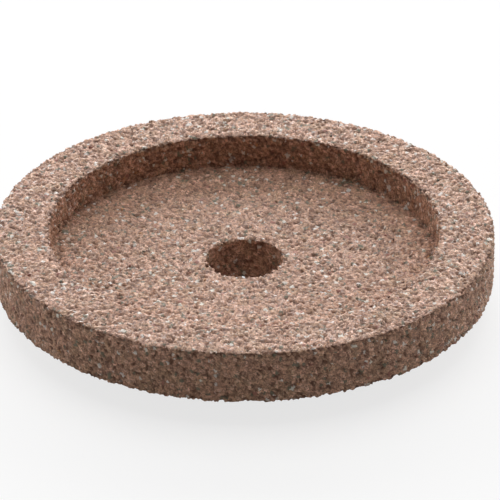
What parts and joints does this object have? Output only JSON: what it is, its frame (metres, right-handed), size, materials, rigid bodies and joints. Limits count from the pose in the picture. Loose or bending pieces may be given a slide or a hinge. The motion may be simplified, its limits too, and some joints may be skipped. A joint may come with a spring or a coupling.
{
  "type": "grinding wheel",
  "caption": "Round recessed grinding wheel of brown bonded abrasive: a raised working rim, a sunk web, a flat boss behind it and a plain centre bore.",
  "frame": {"origin": "centre of the bore at the flat end of the back boss, where the wheel seats on a spindle's shoulder", "axes": "+Z along the bore and spin axis, out of the recess; X and Y are free, because the wheel is round"},
  "size_m": [0.05, 0.05, 0.008],
  "materials": {
    "bonded_abrasive": "coarse fired abrasive grain, matt, with open pores and small glints"
  },
  "bodies": {
    "root": {"abrasive_rim": "bonded_abrasive", "recess_web": "bonded_abrasive", "back_boss": "bonded_abrasive"}
  },
  "joints": []
}
